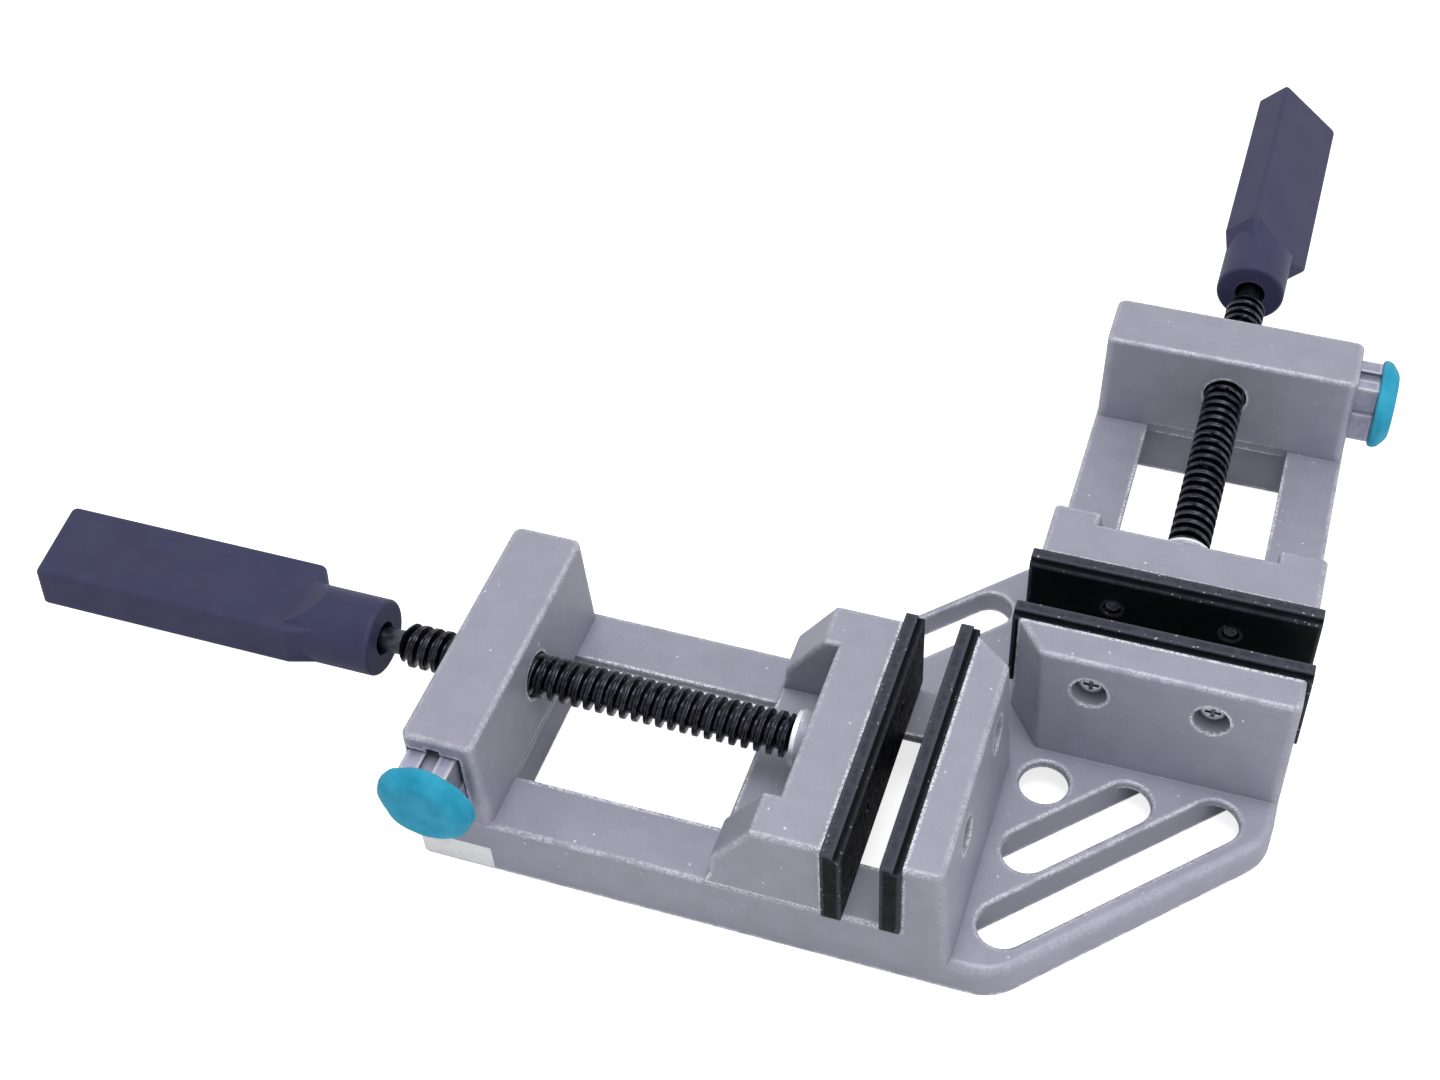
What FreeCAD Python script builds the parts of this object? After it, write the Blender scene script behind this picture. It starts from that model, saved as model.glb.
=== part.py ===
import FreeCAD, Part
import math
import os

# Right-angle corner clamp: two screw jaws on one cast frame, each with a button that
# frees its half nut. The origin is the inside corner where the two fixed clamping
# faces meet, at bench height, and Z is up. Arm A runs along -X. Arm B is the mirror
# image of arm A and runs along +Y. A distance "along" an arm is measured outward from
# the inside corner. Lengths are in millimetres.

V = FreeCAD.Vector
X = V(1, 0, 0)
Y = V(0, 1, 0)
Z = V(0, 0, 1)
ORIGIN = V(0, 0, 0)
root_two = math.sqrt(2)

# Cuts run past the faces they open by this much.
overrun = 1.0
# Points closer to a plane than this count as lying in it.
touch = 0.01

# Where the two movable jaws stand: the gap between the pads, and the turn of the handle.
rest_gap_a = 11.6
rest_gap_b = 17.6
rest_turn_a = -8.2
rest_turn_b = 226.5

# Arms: two rails with a window between them, open underneath.
arm_offset = 62.0
arm_width = 90.0
rail_width = 19.5
rail_top = 24.3
rail_flange = 3.4
rail_edge_radius = 1.2
skirt = 4.0
window_start = 2.0
window_lip = 0.5
window_core_draft = 2.8

# End blocks, which guide the screws and house the release slides.
block_inner = 124.7
block_thick = 27.5
block_top = 61.1
block_draft_deg = 2.5
block_side_draft_deg = 0.6
block_corner_radius = 3.0
block_edge_radius = 1.5
block_floor = 4.4
spindle_hole_gap = 0.5

# Corner plate behind the fixed jaws, cored underneath, with its hole and two slots.
plate_top = 12.8
plate_skin = 3.0
plate_diagonal = 100.8
plate_corner_radius = 18.0
plate_edge_radius = 3.0
bench_hole_radius = 8.0
bench_hole_place = 34.0
slot_half_width = 8.0
slot_rib = 3.0
lip_radius = 1.1
inner_slot_half_length = 26.5
outer_slot_half_length = 47.0
outer_slot_edge = 6.4

# Back plate in the inside corner, solid, with one slot.
back_plate_top = 9.0
back_plate_diagonal = 35.3
back_plate_edge_radius = 2.0
back_slot_half_width = 7.2
back_slot_half_length = 32.0
back_slot_edge = 3.3

# Jaw pads: four like plates with a rabbet along the top of one side.
pad_thick = 6.3
pad_length = 94.2
pad_height = 33.0
pad_shift = 0.4
pad_gap = 0.25
fixed_pad_lift = 0.75
pad_stand = 1.1
rabbet_width = 2.2
rabbet_depth = 1.5
pad_edge_radius = 0.5
pad_hole_share = 0.2133
pad_hole_height = 18.5

# Screws with round pan heads: two hold each pad, and two hold each keeper plate.
screw_radius = 3.0
screw_head_radius = 4.5
screw_head_height = 3.4
screw_head_round = 1.6
screw_point = 0.8
screw_fit = 0.05
screw_hole_gap = 0.3
screw_seat_wall = 6.1
screw_tip_depth = 1.0
screw_recess_radius = 5.8
drive_width = 1.3
drive_length = 5.0
drive_depth = 1.8
keeper_screw_length = 12.0

# Fixed jaws, cast in one with the frame.
fixed_jaw_thick = 12.1
fixed_jaw_draft_deg = 4.1
fixed_jaw_inner_end = 16.5
fixed_jaw_mitre_deg = 38.0
jaw_corner_radius = 3.0
jaw_edge_radius = 1.5

# Movable jaws: a wall between two braced lugs, on a tongue that runs between the rails.
slide_gap = 0.15
jaw_wall_top = 17.0
jaw_wall_foot = 18.7
jaw_ledge_height = 3.7
jaw_root_radius = 6.0
lug_width = 15.6
lug_top = 21.8
lug_elbow = 34.9
lug_elbow_height = 13.2
lug_elbow_radius = 4.0
lug_ankle = 35.9
lug_foot = 37.3
boss_radius = 9.5
boss_height = 3.1
tongue_side_gap = 0.4
tongue_inset = 0.7
tongue_drop = 0.3
keeper_thick = 3.0
keeper_overlap = 5.5
keeper_inset = 1.7
keeper_length = 32.0
keeper_corner_radius = 3.0
keeper_hole_share = 0.1444

# Screw spindle with its journal in the jaw, thrust washer and retaining ring.
spindle_height = 44.6
thread_radius = 7.1
thread_spare = 7.2
thread_chamfer = 1.0
journal_radius = 4.0
journal_gap = 0.05
journal_tip_gap = 1.0
stub_length = 7.5
tang_length = 24.0
tang_flat = 3.0
washer_radius = 9.0
washer_thick = 1.5
washer_fit = 0.1
washer_room = 0.5
thrust_gap = 0.1
ring_radius = 6.2
ring_thick = 1.1
ring_groove_radius = 3.2
ring_mouth = 4.0
ring_gap = 0.05
ring_axial_gap = 0.2
counterbore_radius = 8.0
counterbore_depth = 4.0

# Moulded paddle handle in line with the spindle.
hub_radius = 12.6
hub_edge_radius = 1.2
hub_length = 20.0
ramp_length = 10.0
blade_thick = 14.5
blade_inner = 14.0
blade_outer = 19.5
blade_outer_length = 125.5
blade_inner_length = 118.0
blade_root = 16.0
blade_root_half = 10.0
blade_flare = 28.0
shoulder_start = 24.0
shoulder_end = 30.2
shoulder_half = 9.5
shoulder_radius = 3.5
blade_end_radius = 2.2
blade_edge_radius = 1.6
hub_recess_radius = 5.6
hub_recess_depth = 6.0
tang_fit = 0.05

# Release slide with the half nut, its spring and its button cap.
release_share = 0.535
slide_thick = 16.7
slide_height = 24.0
slide_below_spindle = 13.8
slide_side_gap = 0.35
slide_head_gap = 0.8
slide_stand = 7.0
slide_past_nut = 8.8
slide_edge_radius = 0.8
slide_step_depth = 1.0
slide_step_height = 13.0
slide_groove_width = 4.5
slide_groove_depth = 1.6
release_travel = 4.0
release_end_gap = 0.5
nut_fit = 0.07
nut_relief = 0.3
notch_length = 12.0
peg_radius = 4.9
peg_length = 3.2
peg_fit = 0.05
spring_radius = 3.9
spring_wire_radius = 0.55
spring_turns = 6
spring_bore_gap = 0.5
spring_bore_depth = 5.0
spring_seat_depth = 7.5
cap_radius = 16.0
cap_drop = 1.6
cap_rim = 3.0
cap_rim_round = 1.0
cap_crown = 6.6
cap_face_share = 0.74
cap_face_round = 3.0

# Places worked out from the sizes above.
arm_near = arm_offset - arm_width / 2
arm_far = arm_offset + arm_width / 2
window_half = arm_width / 2 - rail_width
outer_slot_place = plate_diagonal - outer_slot_edge - slot_half_width
inner_slot_place = outer_slot_place - 2 * slot_half_width - slot_rib
pad_hole_spread = pad_hole_share * arm_width
keeper_hole_spread = keeper_hole_share * arm_width
block_outer = block_inner + block_thick
slider_height = spindle_height - slide_below_spindle
release_place = block_inner + block_thick * release_share
pocket_half = slide_thick / 2 + slide_side_gap
pocket_bottom = slider_height - slide_side_gap
pocket_top = slider_height + slide_height + slide_head_gap
slide_inner_end = thread_radius + slide_past_nut
pocket_end = slide_inner_end + release_travel + release_end_gap
spring_height = slider_height + slide_height / 2
pad_bottom = rail_top + pad_gap
fixed_pad_bottom = pad_bottom + fixed_pad_lift
fixed_jaw_top = fixed_pad_bottom + pad_height - pad_stand
jaw_top = pad_bottom + pad_height - pad_stand
jaw_bottom = rail_top + slide_gap
screw_seat = pad_thick + screw_seat_wall
tongue_bottom = rail_top - rail_flange - tongue_drop
keeper_bottom = tongue_bottom - keeper_thick
keeper_half = window_half + keeper_overlap
keeper_near = pad_thick + keeper_inset
wall_rear = pad_thick + jaw_wall_top
boss_end = wall_rear + boss_height
washer_near = boss_end + thrust_gap
shoulder = washer_near + washer_thick
thread_end = block_outer + thread_spare
handle_face = thread_end + stub_length


def box(x0, x1, y0, y1, z0, z1):
    """Box between two corners, in any order."""
    low = V(min(x0, x1), min(y0, y1), min(z0, z1))
    return Part.makeBox(abs(x1 - x0), abs(y1 - y0), abs(z1 - z0), low)


def arm_box(near, far, half_width, bottom, top):
    """Box centred on arm A, between two distances along it."""
    return box(-far, -near, -arm_offset - half_width, -arm_offset + half_width, bottom, top)


def prism(points, bottom, top):
    """Upright prism on a plan outline."""
    corners = [V(x, y, bottom) for x, y in points]
    face = Part.Face(Part.makePolygon(corners + corners[:1]))
    return face.extrude(V(0, 0, top - bottom))


def cross_prism(profile, y0, y1):
    """Side outline of (along, height) points, carried across arm A."""
    corners = [V(-along, y0, height) for along, height in profile]
    face = Part.Face(Part.makePolygon(corners + corners[:1]))
    return face.extrude(V(0, y1 - y0, 0))


def tapered(low_points, bottom, high_points, top):
    """Block with drafted walls between two plan outlines."""
    low = [V(x, y, bottom) for x, y in low_points]
    high = [V(x, y, top) for x, y in high_points]
    wires = [Part.makePolygon(low + low[:1]), Part.makePolygon(high + high[:1])]
    return Part.makeLoft(wires, True, True)


def arm_rod(radius, near, far, side=0, height=spindle_height):
    """Cylinder along arm A."""
    return Part.makeCylinder(radius, far - near, V(-far, -arm_offset + side, height), X)


def side_rod(radius, near, far, along, height):
    """Cylinder square to arm A, between two distances outward from its centre line."""
    return Part.makeCylinder(radius, far - near, V(-along, -arm_offset - far, height), Y)


def mirror_b(shape):
    """Turns a piece of arm A into the same piece of arm B."""
    return shape.mirror(ORIGIN, V(1, 1, 0))


def edges_where(shape, test):
    """Edges whose ends and middle all pass a test on their position."""
    chosen = []
    for edge in shape.Edges:
        middle = edge.valueAt((edge.FirstParameter + edge.LastParameter) / 2)
        points = [vertex.Point for vertex in edge.Vertexes] + [middle]
        if all(test(point) for point in points):
            chosen.append(edge)
    return chosen


def at(value, place):
    """True where a coordinate lies in a plane."""
    return abs(value - place) < touch


def across_diagonal(shape, diagonal):
    """Turns a shape drawn along X square across the corner's diagonal, and moves it out."""
    shape.rotate(ORIGIN, Z, 45)
    shape.translate(V(diagonal / root_two, -diagonal / root_two, 0))
    return shape


def diagonal_slot(diagonal, half_width, half_length, bottom, top):
    """Round-ended upright prism lying square across the corner's diagonal."""
    reach = half_length - half_width
    corners = [V(-reach, -half_width, bottom), V(reach, -half_width, bottom)]
    corners += [V(reach, half_width, bottom), V(-reach, half_width, bottom)]
    right_tip = V(half_length, 0, bottom)
    left_tip = V(-half_length, 0, bottom)
    edges = [
        Part.makeLine(corners[0], corners[1]),
        Part.Arc(corners[1], right_tip, corners[2]).toShape(),
        Part.makeLine(corners[2], corners[3]),
        Part.Arc(corners[3], left_tip, corners[0]).toShape(),
    ]
    slot = Part.Face(Part.Wire(edges)).extrude(V(0, 0, top - bottom))
    return across_diagonal(slot, diagonal)


def cut_with_lips(plate, cuts, top):
    """Cuts openings through a plate and rounds their upper edges."""
    lips = []
    for cut in cuts:
        plate = plate.cut(cut)
        box_of_cut = cut.BoundBox
        box_of_cut.enlarge(touch)
        lips.append(box_of_cut)

    def is_lip(point):
        return at(point.z, top) and any(lip.isInside(point) for lip in lips)

    return plate.makeFillet(lip_radius, edges_where(plate, is_lip))


# Cast frame


def corner_outline(inset, inner):
    """Plan outline of the corner plate, drawn in by an inset."""
    far = arm_far - inset
    reach = (plate_diagonal - inset) * root_two - far
    return [(inner, -far), (reach, -far), (far, -reach), (far, -inner), (inner, -inner)]


def corner_plate():
    """Corner plate with its rounded corners and outer edge, its two slots and its hole."""
    plate = prism(corner_outline(0, pad_thick), 0, plate_top)
    reach = plate_diagonal * root_two - arm_far

    def is_corner(point):
        first = at(point.x, reach) and at(point.y, -arm_far)
        return first or (at(point.x, arm_far) and at(point.y, -reach))

    plate = plate.makeFillet(plate_corner_radius, edges_where(plate, is_corner))

    def is_rim(point):
        return at(point.z, plate_top) and point.x - point.y > arm_far + pad_thick - touch

    plate = plate.makeFillet(plate_edge_radius, edges_where(plate, is_rim))
    bottom = -overrun
    top = plate_top + overrun
    hole_place = V(bench_hole_place, -bench_hole_place, bottom)
    cuts = [
        diagonal_slot(inner_slot_place, slot_half_width, inner_slot_half_length, bottom, top),
        diagonal_slot(outer_slot_place, slot_half_width, outer_slot_half_length, bottom, top),
        Part.makeCylinder(bench_hole_radius, top - bottom, hole_place),
    ]
    return cut_with_lips(plate, cuts, plate_top)


def plate_ribs(top):
    """Straight ribs under the corner plate, along both sides of each slot."""
    beyond = slot_half_width + slot_rib / 2
    places = [inner_slot_place - beyond, inner_slot_place + beyond, outer_slot_place + beyond]
    ribs = []
    for place in places:
        rib = box(-plate_diagonal, plate_diagonal, -slot_rib / 2, slot_rib / 2, -2 * overrun, top)
        ribs.append(across_diagonal(rib, place))
    return ribs


def plate_core():
    """Hollow under the corner plate and the fixed jaws' feet, between its ribs."""
    top = plate_top - plate_skin
    core = prism(corner_outline(skirt, pad_thick + skirt), -overrun, top)
    return core.cut(plate_ribs(top + overrun))


def fixed_jaw():
    """Fixed jaw of arm A, with a drafted back and a mitred inner end."""
    mitre = math.tan(math.radians(fixed_jaw_mitre_deg))

    def outline(back):
        inner_back = -fixed_jaw_inner_end - (back - pad_thick) * mitre
        front = [(pad_thick, -arm_far), (pad_thick, -fixed_jaw_inner_end)]
        return front + [(back, inner_back), (back, -arm_far)]

    back_top = pad_thick + fixed_jaw_thick
    back_foot = back_top + fixed_jaw_top * math.tan(math.radians(fixed_jaw_draft_deg))
    jaw = tapered(outline(back_foot), 0, outline(back_top), fixed_jaw_top)

    def is_back_corner(point):
        return point.x > back_top - touch

    upright = [edge for edge in edges_where(jaw, is_back_corner) if edge.BoundBox.ZLength > rail_top]
    jaw = jaw.makeFillet(jaw_corner_radius, upright)

    def is_top(point):
        return at(point.z, fixed_jaw_top)

    rim = [edge for edge in edges_where(jaw, is_top) if edge.BoundBox.XMax > pad_thick + touch]
    return jaw.makeFillet(jaw_edge_radius, rim)


def rails():
    """Arm A's solid bed, before its window and hollow are cut."""
    bed = arm_box(-pad_thick, block_outer - skirt, arm_width / 2, 0, rail_top)

    def is_rim(point):
        outer = at(point.y, -arm_far) or at(point.y, -arm_near)
        return outer and at(point.z, rail_top)

    return bed.makeFillet(rail_edge_radius, edges_where(bed, is_rim))


def end_block():
    """End block of arm A, drafted on all sides."""
    draft = math.tan(math.radians(block_draft_deg))
    side_draft = block_top * math.tan(math.radians(block_side_draft_deg))

    def outline(inner, outer, inset):
        near = -arm_near - inset
        far = -arm_far + inset
        return [(-inner, near), (-outer, near), (-outer, far), (-inner, far)]

    inner_foot = block_inner - rail_top * draft
    inner_top = block_inner + (block_top - rail_top) * draft
    outer_top = block_outer - block_top * draft
    low = outline(inner_foot, block_outer, 0)
    high = outline(inner_top, outer_top, side_draft)
    block = tapered(low, 0, high, block_top)
    upright = [edge for edge in block.Edges if edge.BoundBox.ZLength > rail_top]
    block = block.makeFillet(block_corner_radius, upright)
    rim = edges_where(block, lambda point: at(point.z, block_top))
    block = block.makeFillet(block_edge_radius, rim)
    return block


def arm_hollows():
    """Window between the rails of arm A, and the hollows under rails and block."""
    end = block_inner + window_lip
    foot = end + window_core_draft
    slope = window_core_draft / rail_top
    window_profile = [
        (-window_start, -overrun),
        (-window_start, rail_top + overrun),
        (end - slope * overrun, rail_top + overrun),
        (foot + slope * overrun, -overrun),
    ]
    window = cross_prism(window_profile, -arm_offset - window_half, -arm_offset + window_half)
    under_rails = arm_box(
        -window_start, foot, arm_width / 2 - skirt, -overrun, rail_top - rail_flange
    )
    under_block = arm_box(
        foot + skirt, block_outer - skirt, arm_width / 2 - skirt, -overrun, pocket_bottom - block_floor
    )
    return [window, under_rails, under_block]


def release_hollows():
    """Pocket for arm A's release slide, its roof notch, the spring seat and the screw hole."""
    mouth = arm_width / 2 + overrun
    middle = -arm_offset
    inner = release_place - pocket_half
    outer = release_place + pocket_half
    pocket = box(-outer, -inner, middle - mouth, middle + pocket_end, pocket_bottom, pocket_top)
    half = slide_groove_width / 2
    notch_end = arm_width / 2 - notch_length
    notch = box(
        -release_place - half, -release_place + half, middle - mouth, middle - notch_end,
        pocket_bottom, pocket_top + slide_groove_depth,
    )
    seat = side_rod(
        spring_radius + spring_bore_gap, -pocket_end - spring_seat_depth, -pocket_end + overrun,
        release_place, spring_height,
    )
    screw_hole = arm_rod(
        thread_radius + spindle_hole_gap, block_inner - block_thick, block_outer + overrun
    )
    return [pocket, notch, seat, screw_hole]


def screw_sides():
    """Places of a pad's two screws across the arm."""
    return (-pad_hole_spread, pad_hole_spread)


def fixed_jaw_holes():
    """Screw holes and deep head recesses in arm A's fixed jaw."""
    holes = []
    height = fixed_pad_bottom + pad_hole_height
    back = pad_thick + 2 * fixed_jaw_thick
    for side in screw_sides():
        holes.append(arm_rod(screw_radius + screw_hole_gap, -screw_seat - overrun, 0, side, height))
        holes.append(arm_rod(screw_recess_radius, -back, -screw_seat, side, height))
    return holes


def back_plate():
    """Back plate in the inside corner, with its long edge rounded and its slot."""
    reach = back_plate_diagonal * root_two
    points = [(-arm_near - reach, -arm_near), (arm_near, arm_near + reach), (arm_near, -arm_near)]
    plate = prism(points, 0, back_plate_top)

    def is_long_rim(point):
        return at(point.z, back_plate_top) and at(point.y - point.x, reach)

    plate = plate.makeFillet(back_plate_edge_radius, edges_where(plate, is_long_rim))
    slot_place = -back_plate_diagonal + back_slot_edge + back_slot_half_width
    slot = diagonal_slot(
        slot_place, back_slot_half_width, back_slot_half_length,
        -overrun, back_plate_top + overrun,
    )
    return cut_with_lips(plate, [slot], back_plate_top)


def base_casting():
    """Frame in one piece: corner plate, arms, end blocks, fixed jaws and back plate."""
    frame = corner_plate().fuse(back_plate())
    for piece in (rails(), end_block(), fixed_jaw()):
        frame = frame.fuse([piece, mirror_b(piece)])
    cuts = [plate_core()]
    for cut in arm_hollows() + release_hollows() + fixed_jaw_holes():
        cuts += [cut, mirror_b(cut)]
    return frame.cut(cuts).removeSplitter()


# Jaw pads and screws


def jaw_pad(rear, bottom):
    """Pad of arm A, from its rear face towards the corner, with the rabbet on its front side."""
    front = rear - pad_thick
    inner = -arm_offset + pad_shift + pad_length / 2
    outer = inner - pad_length
    top = bottom + pad_height
    pad = box(-rear, -front, inner, outer, bottom, top)
    pad = pad.makeFillet(pad_edge_radius, pad.Edges)
    low = front - overrun
    high = front + rabbet_width
    height = bottom + pad_hole_height
    cuts = [box(-low, -high, inner + overrun, outer - overrun, top - rabbet_depth, top + overrun)]
    for side in screw_sides():
        cuts.append(arm_rod(screw_radius + screw_fit, front - overrun, rear + overrun, side, height))
    return pad.cut(cuts)


def pan_screw(seat, direction, length):
    """Pan head screw whose head sits on a seat point and whose shank runs along a direction."""
    shank = Part.makeCylinder(screw_radius, length)
    tip = [edge for edge in shank.Edges if at(edge.BoundBox.ZMin, length)]
    shank = shank.makeChamfer(screw_point, tip)
    head = Part.makeCylinder(screw_head_radius, screw_head_height, V(0, 0, -screw_head_height))
    crown = [edge for edge in head.Edges if at(edge.BoundBox.ZMax, -screw_head_height)]
    head = head.makeFillet(screw_head_round, crown)
    half = drive_width / 2
    reach = drive_length / 2
    floor = drive_depth - screw_head_height
    drive_top = -screw_head_height - overrun
    slots = [
        box(-reach, reach, -half, half, drive_top, floor),
        box(-half, half, -reach, reach, drive_top, floor),
    ]
    screw = shank.fuse(head).cut(slots).removeSplitter()
    screw.Placement = FreeCAD.Placement(seat, FreeCAD.Rotation(Z, direction))
    return screw


def pad_screws(seat_along, direction, bottom):
    """The two screws of one pad of arm A."""
    height = bottom + pad_hole_height
    length = screw_seat - screw_tip_depth
    screws = []
    for side in screw_sides():
        seat = V(-seat_along, -arm_offset + side, height)
        screws.append(pan_screw(seat, direction, length))
    return Part.makeCompound(screws)


# Movable jaw, drawn with the jaw closed


def lug_profile():
    """Side outline of a braced lug, with its elbow rounded."""
    foot = V(-pad_thick - lug_foot, 0, jaw_bottom)
    front_foot = V(-pad_thick, 0, jaw_bottom)
    front_top = V(-pad_thick, 0, jaw_top)
    rear_top = V(-pad_thick - lug_top, 0, jaw_top)
    elbow = V(-pad_thick - lug_elbow, 0, jaw_bottom + lug_elbow_height)
    ankle = V(-pad_thick - lug_ankle, 0, jaw_bottom + jaw_ledge_height)
    return [foot, front_foot, front_top, rear_top, elbow, ankle]


def lug(outer_y, inner_y):
    """One braced lug of arm A's movable jaw."""
    corners = [V(point.x, outer_y, point.z) for point in lug_profile()]
    face = Part.Face(Part.makePolygon(corners + corners[:1]))
    solid = face.extrude(V(0, inner_y - outer_y, 0))
    elbow = corners[4]

    def is_elbow(point):
        return at(point.x, elbow.x) and at(point.z, elbow.z)

    solid = solid.makeFillet(lug_elbow_radius, edges_where(solid, is_elbow))
    rear = -pad_thick - touch

    def is_rim(point):
        return point.z > jaw_bottom + jaw_ledge_height - touch and point.x < rear + 2 * touch

    def lies_on_side(edge):
        on_side = edge.BoundBox.YLength < touch and edge.BoundBox.XMin < rear
        return on_side or at(edge.BoundBox.XMax, -pad_thick - lug_top)

    rim = [edge for edge in edges_where(solid, is_rim) if lies_on_side(edge)]
    return solid.makeFillet(jaw_edge_radius, rim)


def jaw_wall():
    """Wall between the lugs, with its ledge at the foot."""
    ledge = jaw_bottom + jaw_ledge_height
    near = pad_thick
    profile = [
        (near, jaw_bottom),
        (near, jaw_top),
        (near + jaw_wall_top, jaw_top),
        (near + jaw_wall_foot, ledge),
        (near + lug_ankle, ledge),
        (near + lug_foot, jaw_bottom),
    ]
    half = arm_width / 2 - lug_width / 2
    wall = cross_prism(profile, -arm_offset - half, -arm_offset + half)

    def is_root(point):
        return at(point.x, -near - jaw_wall_foot) and at(point.z, ledge)

    wall = wall.makeFillet(jaw_root_radius, edges_where(wall, is_root))

    def is_top(point):
        return at(point.x, -near - jaw_wall_top) and at(point.z, jaw_top)

    return wall.makeFillet(jaw_edge_radius, edges_where(wall, is_top))


def movable_jaw():
    """Movable jaw casting of arm A."""
    far = -arm_offset - arm_width / 2
    near = -arm_offset + arm_width / 2
    jaw = jaw_wall().fuse([lug(far, far + lug_width), lug(near, near - lug_width)])
    tongue_half = window_half - tongue_side_gap
    tongue_near = pad_thick + tongue_inset
    tongue_far = pad_thick + lug_ankle
    tongue = arm_box(tongue_near, tongue_far, tongue_half, tongue_bottom, jaw_bottom + slide_gap)
    boss = arm_rod(boss_radius, screw_seat, boss_end)
    jaw = jaw.fuse([tongue, boss]).removeSplitter()
    cuts = [
        arm_rod(journal_radius + journal_gap, 0, boss_end + overrun),
        arm_rod(counterbore_radius, 0, pad_thick + counterbore_depth),
        arm_rod(washer_radius + washer_room, boss_end, shoulder + lug_foot),
    ]
    height = pad_bottom + pad_hole_height
    for side in screw_sides():
        cuts.append(arm_rod(screw_radius + screw_hole_gap, 0, screw_seat + overrun, side, height))
        cuts.append(arm_rod(screw_recess_radius, screw_seat, shoulder + boss_height, side, height))
    hole_length = keeper_screw_length - keeper_thick + screw_hole_gap + overrun
    for place in keeper_screw_places():
        start = V(place.x, place.y, tongue_bottom - overrun)
        cuts.append(Part.makeCylinder(screw_radius + screw_fit, hole_length, start))
    return jaw.cut(cuts)


def keeper_screw_places():
    """Seats of the two keeper screws, on the plate's lower face."""
    along = keeper_near + keeper_length / 2
    places = []
    for side in (-keeper_hole_spread, keeper_hole_spread):
        places.append(V(-along, -arm_offset + side, keeper_bottom))
    return places


def keeper_plate():
    """Plate under the rails that keeps the movable jaw down."""
    plate = arm_box(
        keeper_near, keeper_near + keeper_length, keeper_half, keeper_bottom, tongue_bottom
    )
    upright = [edge for edge in plate.Edges if edge.BoundBox.ZLength > keeper_thick / 2]
    plate = plate.makeFillet(keeper_corner_radius, upright)
    holes = []
    for place in keeper_screw_places():
        start = place - V(0, 0, overrun)
        radius = screw_radius + screw_hole_gap
        holes.append(Part.makeCylinder(radius, keeper_thick + 2 * overrun, start))
    return plate.cut(holes)


def keeper_screws():
    """The two screws that hold the keeper plate from below."""
    screws = [pan_screw(place, Z, keeper_screw_length) for place in keeper_screw_places()]
    return Part.makeCompound(screws)


# Spindle and handle, drawn with the jaw closed


def ring_place():
    """Distances along the arm of the retaining ring's two faces."""
    rear = pad_thick + counterbore_depth - ring_axial_gap
    return rear - ring_thick, rear


def spindle():
    """Screw spindle: journal with its ring groove, thread body, stub and flatted tang."""
    ring_near, ring_far = ring_place()
    tip = pad_thick + journal_tip_gap
    body = arm_rod(thread_radius, shoulder, thread_end)
    body = body.makeChamfer(thread_chamfer, [edge for edge in body.Edges if edge.Closed])
    journal = arm_rod(journal_radius, tip, shoulder + thread_chamfer)
    stub = arm_rod(journal_radius, thread_end - thread_chamfer, handle_face + tang_length)
    spindle_body = body.fuse([journal, stub])
    collar = arm_rod(journal_radius + overrun, ring_near - ring_gap, ring_far + ring_gap)
    groove = collar.cut(arm_rod(ring_groove_radius, tip, shoulder))
    cuts = [groove]
    flats_start = handle_face + hub_recess_depth
    flats_end = handle_face + tang_length + overrun
    wide = journal_radius + overrun
    middle = -arm_offset
    for side in (-1, 1):
        flat = spindle_height + side * tang_flat
        beyond = spindle_height + side * wide
        cuts.append(box(-flats_end, -flats_start, middle - wide, middle + wide, flat, beyond))
    return spindle_body.cut(cuts).removeSplitter()


def washer():
    """Thrust washer between the jaw's boss and the spindle's shoulder."""
    disc = arm_rod(washer_radius, washer_near, shoulder)
    return disc.cut(arm_rod(journal_radius + washer_fit, washer_near - overrun, shoulder + overrun))


def retaining_ring():
    """Open ring snapped into the journal's groove, behind the pad."""
    near, far = ring_place()
    ring = arm_rod(ring_radius, near, far)
    ring = ring.cut(arm_rod(ring_groove_radius + ring_gap, near - overrun, far + overrun))
    half = ring_mouth / 2
    middle = -arm_offset
    floor = spindle_height - ring_radius - overrun
    mouth = box(-far - overrun, -near + overrun, middle - half, middle + half, floor, spindle_height)
    return ring.cut(mouth)


def handle_point(reach, side):
    """Point in the handle's mid-plane: reach from the hub's face, side from the axis."""
    return V(-handle_face - reach, -arm_offset + side, spindle_height - blade_thick / 2)


def blade():
    """Flat blade of the handle, wider on one side, with a shoulder and a slanted end."""
    outer_start = (shoulder_start, shoulder_half)
    outer_end = (shoulder_end, blade_outer)
    outer_tip = (blade_outer_length, blade_outer)
    inner_tip = (blade_inner_length, -blade_inner)
    flare = (blade_flare, -blade_inner)
    inner_root = (blade_root, -blade_root_half)
    outer_root = (blade_root, blade_root_half)
    chain = [outer_root, outer_start, outer_end, outer_tip, inner_tip, flare, inner_root]
    corners = [handle_point(*place) for place in chain]
    face = Part.Face(Part.makePolygon(corners + corners[:1]))
    solid = face.extrude(V(0, 0, blade_thick))
    roundings = [
        (blade_end_radius, [handle_point(*outer_tip), handle_point(*inner_tip)]),
        (shoulder_radius, [handle_point(*outer_end)]),
    ]
    for radius, tips in roundings:

        def is_tip(point):
            return any(at(point.x, tip.x) and at(point.y, tip.y) for tip in tips)

        solid = solid.makeFillet(radius, edges_where(solid, is_tip))
    root = handle_point(*outer_root).x
    low = spindle_height - blade_thick / 2
    high = spindle_height + blade_thick / 2

    def is_rim(point):
        return (at(point.z, low) or at(point.z, high)) and point.x < root + touch

    rim = [edge for edge in edges_where(solid, is_rim) if edge.BoundBox.XMin < root - touch]
    return solid.makeFillet(blade_edge_radius, rim)


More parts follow.
